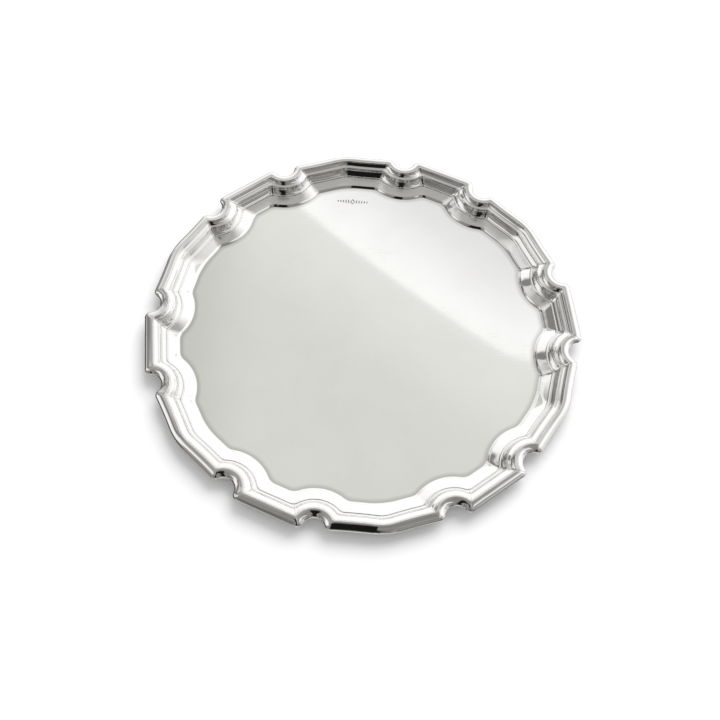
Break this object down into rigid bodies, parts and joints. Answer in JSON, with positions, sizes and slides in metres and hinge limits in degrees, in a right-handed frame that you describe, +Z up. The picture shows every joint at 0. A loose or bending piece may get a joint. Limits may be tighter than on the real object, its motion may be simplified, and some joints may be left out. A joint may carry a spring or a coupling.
{
  "type": "offering plate",
  "caption": "Round polished silver plate with a flat well and a raised, stepped and scalloped moulded border turned down at its edge.",
  "frame": {"origin": "centre of the flat underside of the well, which the plate rests on", "axes": "+Z up, out of the well; +X to the middle of a short straight length of the border; +Y to the peak of a bracket length"},
  "size_m": [0.254, 0.2552, 0.0097],
  "materials": {
    "sheet_silver": "mirror-polished silver, flat, with fine handling scratches",
    "cast_silver": "mirror-polished silver, moulded, slightly softened on its high edges"
  },
  "bodies": {
    "root": {"well_plate": "sheet_silver", "rim_bracket_1": "cast_silver", "rim_bracket_2": "cast_silver", "rim_bracket_3": "cast_silver", "rim_bracket_4": "cast_silver", "rim_bracket_5": "cast_silver", "rim_bracket_6": "cast_silver", "rim_straight_1": "cast_silver", "rim_straight_2": "cast_silver", "rim_straight_3": "cast_silver", "rim_straight_4": "cast_silver", "rim_straight_5": "cast_silver", "rim_straight_6": "cast_silver", "rim_scallop_1": "cast_silver", "rim_scallop_2": "cast_silver", "rim_scallop_3": "cast_silver", "rim_scallop_4": "cast_silver", "rim_scallop_5": "cast_silver", "rim_scallop_6": "cast_silver", "rim_scallop_7": "cast_silver", "rim_scallop_8": "cast_silver", "rim_scallop_9": "cast_silver", "rim_scallop_10": "cast_silver", "rim_scallop_11": "cast_silver", "rim_scallop_12": "cast_silver"}
  },
  "joints": []
}
